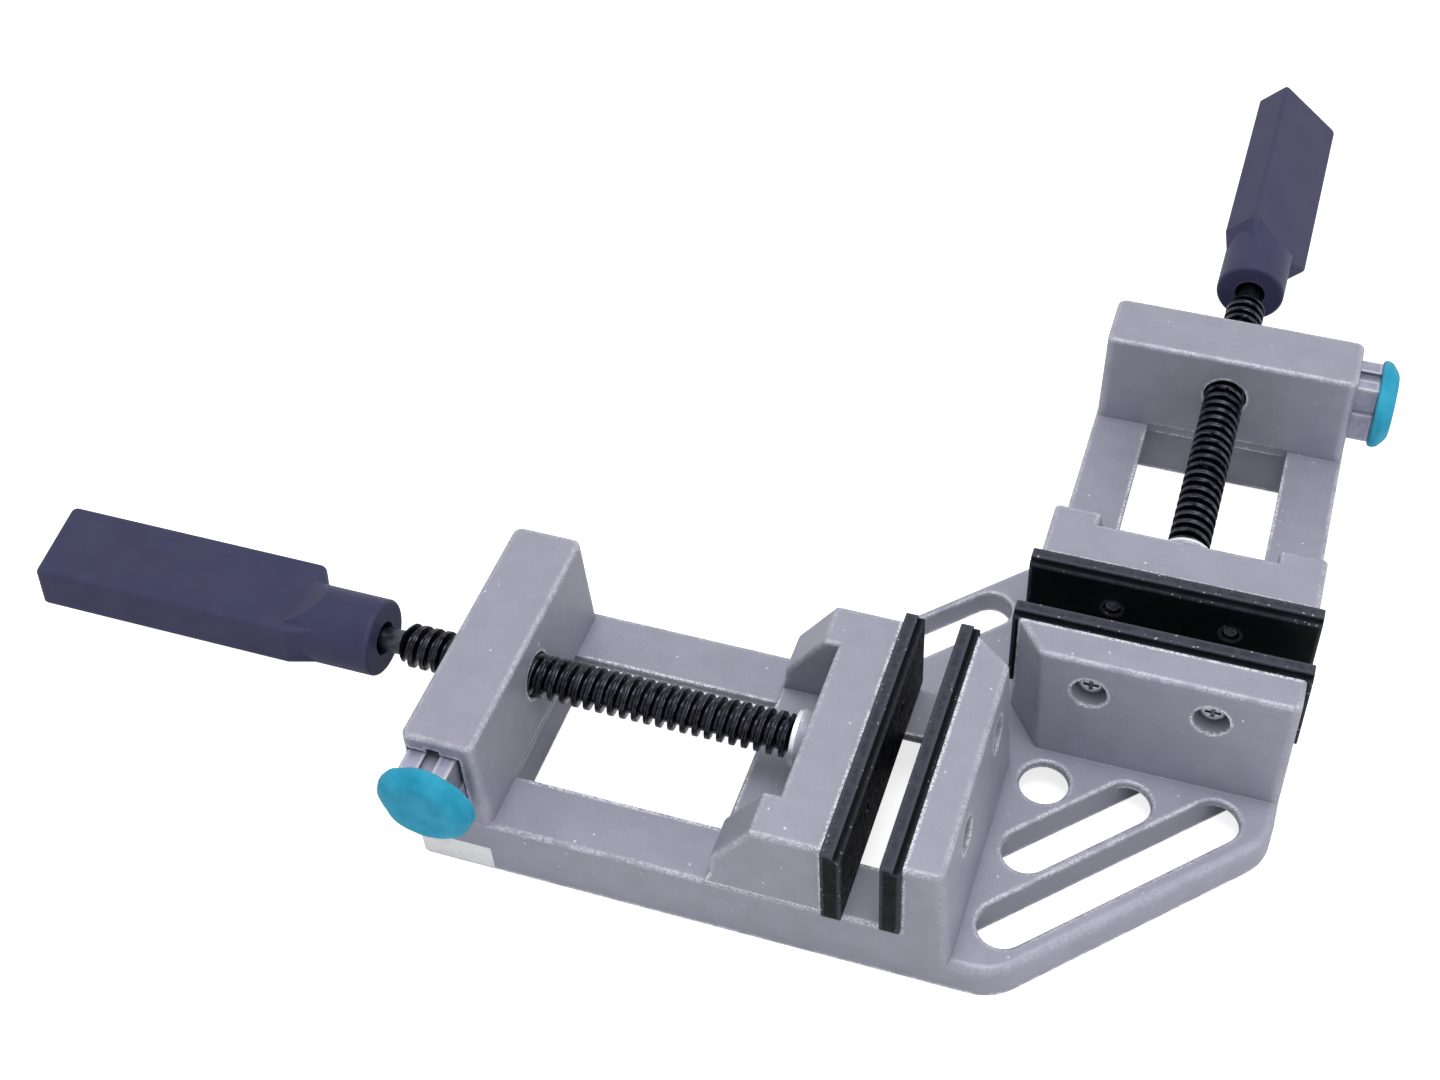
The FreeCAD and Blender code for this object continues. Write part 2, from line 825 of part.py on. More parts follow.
def hub():
    """Round hub whose far end is planed down to the blade's two broad faces."""
    end = hub_length + ramp_length
    solid = arm_rod(hub_radius, handle_face, handle_face + end)
    front = [edge for edge in solid.Edges if edge.Closed and at(edge.BoundBox.XMin, -handle_face)]
    solid = solid.makeFillet(hub_edge_radius, front)
    half = blade_thick / 2
    wide = hub_radius + overrun
    slope = (hub_radius - half) / ramp_length
    rise = overrun / slope
    for side in (-1, 1):
        profile = [
            (handle_face + end, spindle_height + side * half),
            (handle_face + end + rise, spindle_height + side * (half - overrun)),
            (handle_face + end + rise, spindle_height + side * wide),
            (handle_face + hub_length - rise, spindle_height + side * wide),
        ]
        solid = solid.cut(cross_prism(profile, -arm_offset - wide, -arm_offset + wide))
    return solid


def handle():
    """Moulded handle with its hub's recess and the flatted socket for the tang."""
    body = blade().fuse(hub())
    recess = arm_rod(hub_recess_radius, handle_face - overrun, handle_face + hub_recess_depth)
    socket_end = handle_face + tang_length + tang_fit
    radius = journal_radius + tang_fit
    socket = arm_rod(radius, handle_face, socket_end)
    half = tang_flat + tang_fit
    keep = arm_box(handle_face - overrun, socket_end + overrun, radius + overrun,
                   spindle_height - half, spindle_height + half)
    return body.cut([recess, socket.common(keep)]).removeSplitter()


# Release slide, spring and cap


def nut_hole():
    """Long hole of the release slide: a half nut on one side, room to free it on the other."""
    radius = thread_radius + nut_fit
    shift = release_travel + nut_relief
    near = release_place - slide_thick
    far = release_place + slide_thick
    first = arm_rod(radius, near, far)
    second = arm_rod(radius, near, far, -shift)
    low = spindle_height - radius
    high = spindle_height + radius
    middle = -arm_offset
    return first.fuse([second, box(-far, -near, middle - shift, middle, low, high)])


def release_slider():
    """Release slide of arm A, with its half nut, grooved top, spring bore and cap peg."""
    half = slide_thick / 2
    inner = -release_place + half
    outer = -release_place - half
    middle = -arm_offset
    tip = middle - arm_width / 2 - slide_stand
    end = middle + slide_inner_end
    top = slider_height + slide_height
    body = box(inner, outer, tip, end, slider_height, top)
    long_edges = [edge for edge in body.Edges if edge.BoundBox.YLength > slide_stand]
    body = body.makeFillet(slide_edge_radius, long_edges)
    groove = slide_groove_width / 2
    step = inner - slide_step_depth
    neck_end = -arm_far + notch_length
    bore_start = -slide_inner_end
    bore_end = bore_start + spring_bore_depth
    cuts = [
        nut_hole(),
        box(-release_place - groove, -release_place + groove, tip - overrun, neck_end,
            top - slide_groove_depth, top + overrun),
        box(step, inner + overrun, tip - overrun, neck_end,
            slider_height + slide_step_height, top + overrun),
        side_rod(spring_radius + spring_bore_gap, bore_start - overrun, bore_end,
                 release_place, spring_height),
    ]
    peg_start = arm_width / 2 + slide_stand
    peg = side_rod(peg_radius, peg_start - overrun, peg_start + peg_length,
                   release_place, cap_height())
    return body.cut(cuts).fuse(peg).removeSplitter()


def cap_height():
    """Height of the button cap's centre."""
    return spindle_height - cap_drop


def release_spring():
    """Coil spring between the end of the pocket and the bore of the release slide."""
    start = -pocket_end - spring_seat_depth + spring_wire_radius
    end = -slide_inner_end + spring_bore_depth - spring_wire_radius
    coil_radius = spring_radius - spring_wire_radius
    pitch = (end - start) / spring_turns
    helix = Part.makeHelix(pitch, end - start, coil_radius)
    section = Part.makeCircle(spring_wire_radius, V(coil_radius, 0, 0), Y)
    coil = Part.Wire(helix.Edges).makePipeShell([Part.Wire([section])], True, True)
    turn = FreeCAD.Rotation(Z, -Y)
    coil.Placement = FreeCAD.Placement(V(-release_place, -arm_offset - start, spring_height), turn)
    return coil


def button_cap():
    """Round button cap with a sloped edge, moulded, with a socket for the slide's peg."""
    under = arm_width / 2 + slide_stand
    middle = -arm_offset
    height = cap_height()

    def point(radius, out):
        return V(-release_place + radius, middle - under - out, height)

    inner = cap_radius - cap_rim_round
    bend = cap_rim_round * (1 - 1 / root_two)
    face_radius = cap_radius * cap_face_share
    edges = [
        Part.makeLine(point(0, 0), point(inner, 0)),
        Part.Arc(point(inner, 0), point(cap_radius - bend, bend),
                 point(cap_radius, cap_rim_round)).toShape(),
        Part.makeLine(point(cap_radius, cap_rim_round), point(cap_radius, cap_rim)),
        Part.makeLine(point(cap_radius, cap_rim), point(face_radius, cap_crown)),
        Part.makeLine(point(face_radius, cap_crown), point(0, cap_crown)),
        Part.makeLine(point(0, cap_crown), point(0, 0)),
    ]
    face = Part.Face(Part.Wire(edges))
    cap = face.revolve(point(0, 0), Y, 360)
    face_place = middle - under - cap_crown
    face_rim = [edge for edge in cap.Edges if edge.Closed and at(edge.BoundBox.YMax, face_place)]
    cap = cap.makeFillet(cap_face_round, face_rim)
    socket = side_rod(peg_radius + peg_fit, under - overrun, under + peg_length + peg_fit,
                      release_place, height)
    return cap.cut(socket)


# The finished assembly


def fixed_pieces():
    """Pad and pad screws of a fixed jaw, in arm A's place."""
    return {
        "fixed_pad": jaw_pad(0, fixed_pad_bottom),
        "fixed_pad_screws": pad_screws(-screw_seat, -X, fixed_pad_bottom),
    }


def moving_pieces(gap, turn):
    """Movable jaw and spindle pieces in arm A's place, opened to a gap and turned."""
    pieces = {
        "movable_jaw": movable_jaw(),
        "movable_pad": jaw_pad(pad_thick, pad_bottom),
        "movable_pad_screws": pad_screws(screw_seat, X, pad_bottom),
        "keeper_plate": keeper_plate(),
        "keeper_screws": keeper_screws(),
        "spindle": spindle(),
        "washer": washer(),
        "retaining_ring": retaining_ring(),
        "handle": handle(),
    }
    for name in ("spindle", "retaining_ring", "handle"):
        pieces[name].rotate(V(0, -arm_offset, spindle_height), X, turn)
    for shape in pieces.values():
        shape.translate(V(-gap, 0, 0))
    return pieces


def release_pieces():
    """Release slide, cap and spring in arm A's place."""
    return {
        "release_slider": release_slider(),
        "button_cap": button_cap(),
        "release_spring": release_spring(),
    }


def write(name, shape):
    """Writes one piece to its own file."""
    shape.exportStep("parts/" + name + ".step")


os.makedirs("parts", exist_ok=True)
write("base_casting", base_casting())
for arm, gap, turn in (("a", rest_gap_a, rest_turn_a), ("b", rest_gap_b, rest_turn_b)):
    pieces = {**fixed_pieces(), **moving_pieces(gap, turn), **release_pieces()}
    for piece_name, piece_shape in pieces.items():
        placed = piece_shape if arm == "a" else mirror_b(piece_shape)
        write(piece_name + "_" + arm, placed)
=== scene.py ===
import math

import bmesh
import bpy
from mathutils import Matrix, Quaternion, Vector


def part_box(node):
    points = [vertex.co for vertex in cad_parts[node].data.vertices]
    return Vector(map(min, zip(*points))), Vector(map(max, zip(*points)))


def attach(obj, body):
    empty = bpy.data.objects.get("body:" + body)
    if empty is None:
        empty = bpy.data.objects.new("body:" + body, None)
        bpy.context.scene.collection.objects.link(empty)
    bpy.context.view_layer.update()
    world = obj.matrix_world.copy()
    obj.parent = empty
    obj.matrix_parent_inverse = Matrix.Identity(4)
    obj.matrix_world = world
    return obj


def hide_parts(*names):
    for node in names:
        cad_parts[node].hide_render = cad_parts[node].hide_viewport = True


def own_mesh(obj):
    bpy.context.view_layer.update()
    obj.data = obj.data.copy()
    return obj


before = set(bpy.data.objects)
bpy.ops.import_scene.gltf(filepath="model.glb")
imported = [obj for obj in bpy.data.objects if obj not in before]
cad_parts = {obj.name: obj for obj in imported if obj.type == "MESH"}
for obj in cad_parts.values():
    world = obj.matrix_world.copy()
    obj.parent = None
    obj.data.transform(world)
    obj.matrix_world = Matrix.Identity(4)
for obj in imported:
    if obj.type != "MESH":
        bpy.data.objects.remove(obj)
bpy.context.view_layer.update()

# Camera
# The photograph looks down on the corner from the outside of arm A, with arm B running away
# from the lens. Lens, place and turn come from the straight edges of the two arms.

camera_place = Vector((0.08121, -0.40652, 0.53427))
camera_looks = Vector((-0.20805, 0.65370, -0.72760))
camera_roll_deg = -0.94
camera_lens = 49.38
camera_sensor = 36
camera_shift = (-0.0745, -0.0226)
camera_near = 0.01

camera = bpy.data.objects.new("camera", bpy.data.cameras.new("camera"))
bpy.context.collection.objects.link(camera)
camera.data.sensor_width = camera_sensor
camera.data.lens = camera_lens
camera.data.shift_x, camera.data.shift_y = camera_shift
camera.data.clip_start = camera_near
camera.location = camera_place
camera.rotation_mode = "QUATERNION"
level = camera_looks.to_track_quat("-Z", "Y")
camera.rotation_quaternion = level @ Quaternion((0, 0, 1), math.radians(camera_roll_deg))
bpy.context.scene.camera = camera

# Studio: floor, sky and lights
# A white sweep without a horizon. The floor is a matt white sheet just under the rims, and the
# light is one broad lamp above the corner with a weaker one from the right.

floor_half = 3.0
floor_drop = 0.0004
floor_white = 0.90
floor_lift = 0.75
sky_strength = 0.62
view_sky_strength = 1.0
key_place = Vector((0.05, -0.05, 1.35))
key_size = 0.8
key_power = 8.0
side_place = Vector((1.1, -0.25, 0.60))
side_size = 0.7
side_power = 2.2


def add(tree, kind, sockets=None, **settings):
    """New node with its settings, its sockets set to values or linked to outputs."""
    node = tree.nodes.new(kind)
    for key, value in settings.items():
        setattr(node, key, value)
    for key, value in (sockets or {}).items():
        if isinstance(value, bpy.types.NodeSocket):
            tree.links.new(value, node.inputs[key])
        else:
            node.inputs[key].default_value = value
    return node


def sum_up(tree, operation, first, second):
    """Output of a two-value math node."""
    return add(tree, "ShaderNodeMath", {0: first, 1: second}, operation=operation).outputs[0]


def new_material(name):
    """A node material, its tree and its Principled shader."""
    made = bpy.data.materials.new(name)
    made.use_nodes = True
    tree = made.node_tree
    return made, tree, tree.nodes["Principled BSDF"]


def floor_material():
    made, tree, shader = new_material("studio_floor")
    rays = add(tree, "ShaderNodeLightPath")
    shader.inputs["Base Color"].default_value = (floor_white, floor_white, floor_white, 1)
    shader.inputs["Roughness"].default_value = 1
    shader.inputs["Specular IOR Level"].default_value = 0
    shader.inputs["Emission Color"].default_value = (1, 1, 1, 1)
    lift = sum_up(tree, "MULTIPLY", rays.outputs["Is Camera Ray"], floor_lift)
    tree.links.new(lift, shader.inputs["Emission Strength"])
    return made


def studio_floor():
    mesh = bpy.data.meshes.new("studio_floor")
    corners = [(-1, -1), (1, -1), (1, 1), (-1, 1)]
    points = [(x * floor_half, y * floor_half, -floor_drop) for x, y in corners]
    mesh.from_pydata(points, [], [(0, 1, 2, 3)])
    floor = bpy.data.objects.new("studio_floor", mesh)
    bpy.context.collection.objects.link(floor)
    mesh.materials.append(floor_material())


def studio_sky():
    world = bpy.data.worlds.new("studio_sky")
    world.use_nodes = True
    bpy.context.scene.world = world
    tree = world.node_tree
    rays = add(tree, "ShaderNodeLightPath")
    direct = sum_up(tree, "MAXIMUM", rays.outputs["Is Camera Ray"], rays.outputs["Is Glossy Ray"])
    seen = sum_up(tree, "MAXIMUM", direct, rays.outputs["Is Transmission Ray"])
    extra = sum_up(tree, "MULTIPLY", seen, view_sky_strength - sky_strength)
    strength = sum_up(tree, "ADD", extra, sky_strength)
    sky = tree.nodes["Background"]
    sky.inputs["Color"].default_value = (1, 1, 1, 1)
    tree.links.new(strength, sky.inputs["Strength"])


def studio_lamp(name, place, size, power):
    lamp = bpy.data.objects.new(name, bpy.data.lights.new(name, "AREA"))
    bpy.context.collection.objects.link(lamp)
    lamp.data.shape = "DISK"
    lamp.data.size = size
    lamp.data.energy = power
    lamp.location = place
    lamp.rotation_mode = "QUATERNION"
    lamp.rotation_quaternion = (-place).to_track_quat("-Z", "Y")


studio_floor()
studio_sky()
studio_lamp("key_lamp", key_place, key_size, key_power)
studio_lamp("side_lamp", side_place, side_size, side_power)

# Cast frame and movable jaws
# Aluminium die castings under one coat of silver lacquer. The lacquer shows fine flakes, a faint
# mottle and a few bright specks that are painted glints. It has scuffed through to bright metal
# in crumbs along the edges, where the near white also stands as a painted highlight. Inner
# corners carry painted shade.

# In every section a noise is its size, detail and roughness, and a range is where an effect
# sets in and where it is full.
lacquer_dark = (0.245, 0.245, 0.305, 1)
lacquer_light = (0.365, 0.365, 0.455, 1)
# Near white for bright metal on edges, which also serves as painted edge highlight and as painted
# glints.
bare_metal_and_highlight = (0.80, 0.80, 0.86, 1)
# Colour and strength of the painted shade in inner corners.
corner_shade_colour = (0.12, 0.115, 0.14, 1)
corner_shade_share = 0.35
lacquer_rough = 0.46
lacquer_metal = 0.25
flake_size = 0.00032
flake_share = 0.22
mottle_noise = (0.009, 4.0)
mottle_range = (0.3, 0.7)
mottle_shares = (0.32, 0.52)
speck_size = 0.0006
speck_range = (0.9988, 0.9995)
speck_share = 0.8
speck_gloss = 0.2
crumb_noise = (0.0007, 3.0, 0.7)
crumb_range = (0.43, 0.52)
patch_noise = (0.007, 3.0, 0.6)
patch_range = (0.36, 0.50)
patch_shares = (0.25, 1.0)
skin_noise = (0.0009, 3.0, 0.6)
skin_flake_share = 0.15
skin_depth = 0.00004
edge_radius = 0.0006
edge_reach = 0.0014
edge_range = (0.985, 0.80)
open_range = (0.80, 0.96)
corner_reach = 0.005
corner_range = (0.85, 0.40)
edge_samples = 6
# Places of a Mix node's factor and two colours among its inputs, and of the mixed colour among
# its outputs.
mix_factor = 0
mix_first = 6
mix_second = 7
mix_result = 2


def share(tree, value, low, high, start=0.0, end=1.0):
    """Value mapped smoothly from low..high to start..end."""
    sockets = {"Value": value, "From Min": low, "From Max": high, "To Min": start, "To Max": end}
    node = add(tree, "ShaderNodeMapRange", sockets, interpolation_type="SMOOTHSTEP")
    return node.outputs["Result"]


def mixed(tree, factor, first, second):
    """Colour mixed from first to second."""
    sockets = {mix_factor: factor, mix_first: first, mix_second: second}
    node = add(tree, "ShaderNodeMix", sockets, data_type="RGBA")
    return node.outputs[mix_result]


def new_group(name, inputs, masks, normals=()):
    """A shader node group with its input node and its output node."""
    group = bpy.data.node_groups.new(name, "ShaderNodeTree")
    for socket in inputs:
        group.interface.new_socket(socket, in_out="INPUT", socket_type="NodeSocketFloat")
    for socket in masks:
        group.interface.new_socket(socket, in_out="OUTPUT", socket_type="NodeSocketFloat")
    for socket in normals:
        group.interface.new_socket(socket, in_out="OUTPUT", socket_type="NodeSocketVector")
    return group, group.nodes.new("NodeGroupInput"), group.nodes.new("NodeGroupOutput")


def grain_group():
    """Group of a soft noise that is fixed to the piece."""
    group, given, result = new_group("grain", ("Scale", "Detail", "Roughness"), ("Grain",))
    sockets = {name: given.outputs[name] for name in ("Scale", "Detail", "Roughness")}
    sockets["Vector"] = add(group, "ShaderNodeTexCoord").outputs["Object"]
    noise = add(group, "ShaderNodeTexNoise", sockets)
    group.links.new(noise.outputs["Fac"], result.inputs["Grain"])
    return group


def flake_group():
    """Group of small cells, each with a random value of its own."""
    group, given, result = new_group("flakes", ("Scale",), ("Flake",))
    where = add(group, "ShaderNodeTexCoord").outputs["Object"]
    sockets = {"Vector": where, "Scale": given.outputs["Scale"]}
    cells = add(group, "ShaderNodeTexVoronoi", sockets)
    parted = add(group, "ShaderNodeSeparateColor", {"Color": cells.outputs["Color"]})
    group.links.new(parted.outputs[0], result.inputs["Flake"])
    return group


def edge_group():
    """Group that finds outer edges, for wear and painted edge highlight, inner corners, for
    painted shade, and the rounded normal of sharp edges.
    """
    group, given, result = new_group("edges_and_corners", ("Radius",), ("Edge", "Corner"),
                                     normals=("Normal",))
    rounded = add(group, "ShaderNodeBevel", {"Radius": given.outputs["Radius"]},
                  samples=edge_samples)
    depth = add(group, "ShaderNodeAmbientOcclusion", {"Distance": edge_reach},
                samples=edge_samples, only_local=True, inside=True)
    near_edge = share(group, depth.outputs["AO"], *edge_range)
    nearby = add(group, "ShaderNodeAmbientOcclusion", {"Distance": corner_reach},
                 samples=edge_samples, only_local=True)
    openness = nearby.outputs["AO"]
    edge = sum_up(group, "MULTIPLY", near_edge, share(group, openness, *open_range))
    group.links.new(edge, result.inputs["Edge"])
    group.links.new(share(group, openness, *corner_range), result.inputs["Corner"])
    group.links.new(rounded.outputs[0], result.inputs["Normal"])
    return group


grain_noise = grain_group()
flake_cells = flake_group()
edges_and_corners = edge_group()


def spots(tree, size, detail=2.0, rough=0.5):
    """The grain group in a material, its features of a real size."""
    sockets = {"Scale": 1 / size, "Detail": detail, "Roughness": rough}
    node = add(tree, "ShaderNodeGroup", sockets, node_tree=grain_noise)
    return node.outputs["Grain"]


def flakes(tree, size):
    """The flake group in a material, its cells of a real size."""
    node = add(tree, "ShaderNodeGroup", {"Scale": 1 / size}, node_tree=flake_cells)
    return node.outputs["Flake"]


def edge_finder(tree, radius):
    """The edge group in a material, with the radius of that piece's edges."""
    return add(tree, "ShaderNodeGroup", {"Radius": radius}, node_tree=edges_and_corners)


def bumped(tree, height, depth, normal):
    """Normal with a relief of a real depth on top of another normal."""
    sockets = {"Height": height, "Distance": depth, "Normal": normal}
    return add(tree, "ShaderNodeBump", sockets).outputs[0]


def casting_material():
    made, tree, shader = new_material("silver_lacquer")
    found = edge_finder(tree, edge_radius)
    flake = flakes(tree, flake_size)
    mottle = share(tree, spots(tree, *mottle_noise), *mottle_range, *mottle_shares)
    tone = sum_up(tree, "ADD", sum_up(tree, "MULTIPLY", flake, flake_share), mottle)
    coat = mixed(tree, tone, lacquer_dark, lacquer_light)
    # Painted glints: a few random cells are painted near white and made glossier.
    glint = share(tree, flakes(tree, speck_size), *speck_range)
    coat = mixed(tree, sum_up(tree, "MULTIPLY", glint, speck_share), coat, bare_metal_and_highlight)
    crumbs = share(tree, spots(tree, *crumb_noise), *crumb_range)
    patches = share(tree, spots(tree, *patch_noise), *patch_range, *patch_shares)
    rubbed_and_highlight = sum_up(tree, "MULTIPLY", crumbs, patches)
    # Edges where the lacquer has gone through to bright metal, painted near white, which also
    # stands as a painted edge highlight.
    worn_and_highlit = sum_up(tree, "MULTIPLY", found.outputs["Edge"], rubbed_and_highlight)
    coat = mixed(tree, worn_and_highlit, coat, bare_metal_and_highlight)
    # Painted shade: inner corners are darkened toward a dark grey.
    corner_shade = sum_up(tree, "MULTIPLY", found.outputs["Corner"], corner_shade_share)
    coat = mixed(tree, corner_shade, coat, corner_shade_colour)
    tree.links.new(coat, shader.inputs["Base Color"])
    gloss = sum_up(tree, "MULTIPLY", glint, speck_gloss)
    rough = sum_up(tree, "SUBTRACT", lacquer_rough, gloss)
    tree.links.new(rough, shader.inputs["Roughness"])
    shader.inputs["Metallic"].default_value = lacquer_metal
    skin = sum_up(tree, "ADD", spots(tree, *skin_noise),
                  sum_up(tree, "MULTIPLY", flake, skin_flake_share))
    normal = bumped(tree, skin, skin_depth, found.outputs["Normal"])
    tree.links.new(normal, shader.inputs["Normal"])
    return made


def finish(node, material):
    """Gives a CAD node its material."""
    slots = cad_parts[node].data.materials
    slots.clear()
    slots.append(material)


casting = casting_material()
for node in ("base_casting", "movable_jaw_a", "movable_jaw_b"):
    finish(node, casting)

# Blank label
# A small white paper label at the foot of arm A's end block, beside the button. It carries
# nothing, and its edge stands a tenth of a millimetre off the lacquer.

label_low = Vector((-0.1508, -0.1070, 0.0006))
label_high = Vector((-0.1268, -0.1071, 0.0112))
label_round = 0.0005
label_steps = 6
paper_white = (0.92, 0.92, 0.93, 1)
paper_grey = (0.74, 0.74, 0.77, 1)
paper_rough = 0.6
fibre_noise = (0.0007, 4.0, 0.7)
fibre_range = (0.35, 0.65)
fibre_share = 0.3
fibre_depth = 0.00002
stain_noise = (0.006, 2.0)
stain_range = (0.45, 0.75)
stain_shares = (0.0, 0.5)
same_point = 0.000002
least_edge = 0.000001


def paper_material():
    made, tree, shader = new_material("label_paper")
    fibre = share(tree, spots(tree, *fibre_noise), *fibre_range)
    stain = share(tree, spots(tree, *stain_noise), *stain_range, *stain_shares)
    tone = sum_up(tree, "ADD", sum_up(tree, "MULTIPLY", fibre, fibre_share), stain)
    tree.links.new(mixed(tree, tone, paper_white, paper_grey), shader.inputs["Base Color"])
    shader.inputs["Roughness"].default_value = paper_rough
    plain = add(tree, "ShaderNodeNewGeometry").outputs["Normal"]
    tree.links.new(bumped(tree, fibre, fibre_depth, plain), shader.inputs["Normal"])
    return made


def new_piece(name, points, faces, material, body, smooth=True):
    """A mesh piece that rides on a body."""
    mesh = bpy.data.meshes.new(name)
    mesh.from_pydata([tuple(p) for p in points], [], faces)
    mesh.materials.append(material)
    work = bmesh.new()
    work.from_mesh(mesh)
    bmesh.ops.remove_doubles(work, verts=work.verts, dist=same_point)
    bmesh.ops.dissolve_degenerate(work, edges=work.edges, dist=least_edge)
    bmesh.ops.recalc_face_normals(work, faces=work.faces)
    work.to_mesh(mesh)
    work.free()
    for face in mesh.polygons:
        face.use_smooth = smooth
    piece = bpy.data.objects.new(name, mesh)
    bpy.context.collection.objects.link(piece)
    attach(piece, body)
    return piece


def blank_label():
    outline = []
    quarter = math.pi / 2
    corners = ((label_high.x, label_high.z), (label_low.x, label_high.z),
               (label_low.x, label_low.z), (label_high.x, label_low.z))
    for number, (x, z) in enumerate(corners):
        inward_x = -label_round if x == label_high.x else label_round
        inward_z = -label_round if z == label_high.z else label_round
        for step in range(label_steps + 1):
            turn = quarter * (number + step / label_steps)
            outline.append((x + inward_x + label_round * math.cos(turn),
                            z + inward_z + label_round * math.sin(turn)))
    count = len(outline)
    points = [(x, label_low.y, z) for x, z in outline]
    points += [(x, label_high.y, z) for x, z in outline]
    faces = [tuple(range(count)), tuple(range(count, 2 * count))]
    for i in range(count):
        after = (i + 1) % count
        faces.append((i, after, count + after, count + i))
    new_piece("blank_label", points, faces, paper_material(), "base", smooth=False)


blank_label()

# Clamping pads
# Black moulded plastic, one on each jaw, held by two screws from behind. Their tops and the step
# along the upper edge are painted grey as light falling from above, and their edges are scuffed
# grey.

pad_black = (0.002, 0.0025, 0.004, 1)
# Grey for scuffed edges, random cloud and the painted light on the pad's top.
pad_grey = (0.066, 0.066, 0.090, 1)
pad_chip = (0.42, 0.42, 0.46, 1)
pad_roughs = (0.42, 0.58)
pad_sheen = 0.08
pad_arris = 0.0004
# Depth of the painted light along the pad's top.
pad_lit_top_depth = 0.0012
pad_lit_top_full = 0.0002
pad_grain_noise = (0.0005, 2.0)
pad_grain_depth = 0.00003
scuff_noise = (0.0025, 4.0, 0.65)
scuff_range = (0.35, 0.65)
scuff_shares = (0.55, 0.85)
pad_cloud_noise = (0.012, 3.0)
pad_cloud_range = (0.4, 0.8)
pad_cloud_shares = (0.0, 0.08)
chip_size = 0.0006
chip_range = (0.978, 0.99)
whole_range = (0.0, 1.0)


def pad_material(node):
    """Pad plastic, with this pad's top painted lighter grey as light from above, and scuffed
    edges.
    """
    made, tree, shader = new_material("black_pad")
    found = edge_finder(tree, pad_arris)
    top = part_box(node)[1].z
    where = add(tree, "ShaderNodeTexCoord").outputs["Object"]
    height = add(tree, "ShaderNodeSeparateXYZ", {0: where}).outputs["Z"]
    # Painted light: the pad's top and the band 1.2 mm below it are painted lighter grey; the edge
    # mask adds scuffed edges.
    upper = share(tree, height, top - pad_lit_top_depth, top - pad_lit_top_full)
    scuffs = share(tree, spots(tree, *scuff_noise), *scuff_range)
    grazed = share(tree, scuffs, *whole_range, *scuff_shares)
    rubbed_and_highlight = sum_up(tree, "MULTIPLY", sum_up(tree, "ADD", upper, found.outputs["Edge"]), grazed)
    cloudy = share(tree, spots(tree, *pad_cloud_noise), *pad_cloud_range, *pad_cloud_shares)
    tone = add(tree, "ShaderNodeMath", {0: rubbed_and_highlight, 1: cloudy}, operation="ADD", use_clamp=True)
    colour = mixed(tree, tone.outputs[0], pad_black, pad_grey)
    chips = share(tree, flakes(tree, chip_size), *chip_range)
    chips = sum_up(tree, "MULTIPLY", chips, found.outputs["Edge"])
    colour = mixed(tree, chips, colour, pad_chip)
    tree.links.new(colour, shader.inputs["Base Color"])
    rough = share(tree, scuffs, *whole_range, *pad_roughs)
    tree.links.new(rough, shader.inputs["Roughness"])
    shader.inputs["Specular IOR Level"].default_value = pad_sheen
    grain = spots(tree, *pad_grain_noise)
    normal = bumped(tree, grain, pad_grain_depth, found.outputs["Normal"])
    tree.links.new(normal, shader.inputs["Normal"])
    return made


for node in ("fixed_pad_a", "fixed_pad_b", "movable_pad_a", "movable_pad_b"):
    finish(node, pad_material(node))

# Screws, keeper plates and thrust washers
# Zinc plated steel, turned, stamped or cold headed: pan head screws hold the pads and the
# keeper plates under the rails, and a bright washer takes the thrust of each spindle.

zinc_bright = (0.66, 0.68, 0.72, 1)
zinc_dull_and_shade = (0.26, 0.26, 0.30, 1)
zinc_edge = (0.80, 0.81, 0.86, 1)
screw_dullness = 0.0
washer_dullness = 0.85
zinc_roughs = (0.24, 0.42)
zinc_arris = 0.0002
bloom_noise = (0.004, 4.0, 0.6)
bloom_range = (0.35, 0.7)
crystal_size = 0.0008
crystal_share = 0.25
scratch_noise = (0.0004, 3.0)
scratch_depth = 0.00001


def zinc_material(name, least_dull):
    """Zinc plate with at least a given share of matt bloom on its faces, painted darker in inner
    corners as shade, and with edges that stay bright.
    """
    made, tree, shader = new_material(name)
    found = edge_finder(tree, zinc_arris)
    bloom = share(tree, spots(tree, *bloom_noise), *bloom_range, least_dull, 1.0)
    speck = sum_up(tree, "MULTIPLY", flakes(tree, crystal_size), crystal_share)
    # Painted shade: inner corners are painted toward the darker zinc colour.
    dull_and_corner_shade = sum_up(tree, "MAXIMUM", bloom, found.outputs["Corner"])
    tone = add(tree, "ShaderNodeMath", {0: dull_and_corner_shade, 1: speck}, operation="SUBTRACT", use_clamp=True)
    colour = mixed(tree, tone.outputs[0], zinc_bright, zinc_dull_and_shade)
    colour = mixed(tree, found.outputs["Edge"], colour, zinc_edge)
    tree.links.new(colour, shader.inputs["Base Color"])
    tree.links.new(share(tree, bloom, *whole_range, *zinc_roughs), shader.inputs["Roughness"])
    shader.inputs["Metallic"].default_value = 1.0
    scratch = spots(tree, *scratch_noise)
    normal = bumped(tree, scratch, scratch_depth, found.outputs["Normal"])
    tree.links.new(normal, shader.inputs["Normal"])
    return made


zinc = zinc_material("zinc_plate", screw_dullness)
thrust_zinc = zinc_material("zinc_washer", washer_dullness)
for arm in "ab":
    for node in ("fixed_pad_screws", "movable_pad_screws", "keeper_plate", "keeper_screws"):
        finish(node + "_" + arm, zinc)
    finish("washer_" + arm, thrust_zinc)

# Spindles
# Blackened steel screws with a 4 mm right-hand rolled thread, oiled, with a plain turned stub
# before the handle. Each turns in its jaw on a journal and takes the place of the CAD rod.

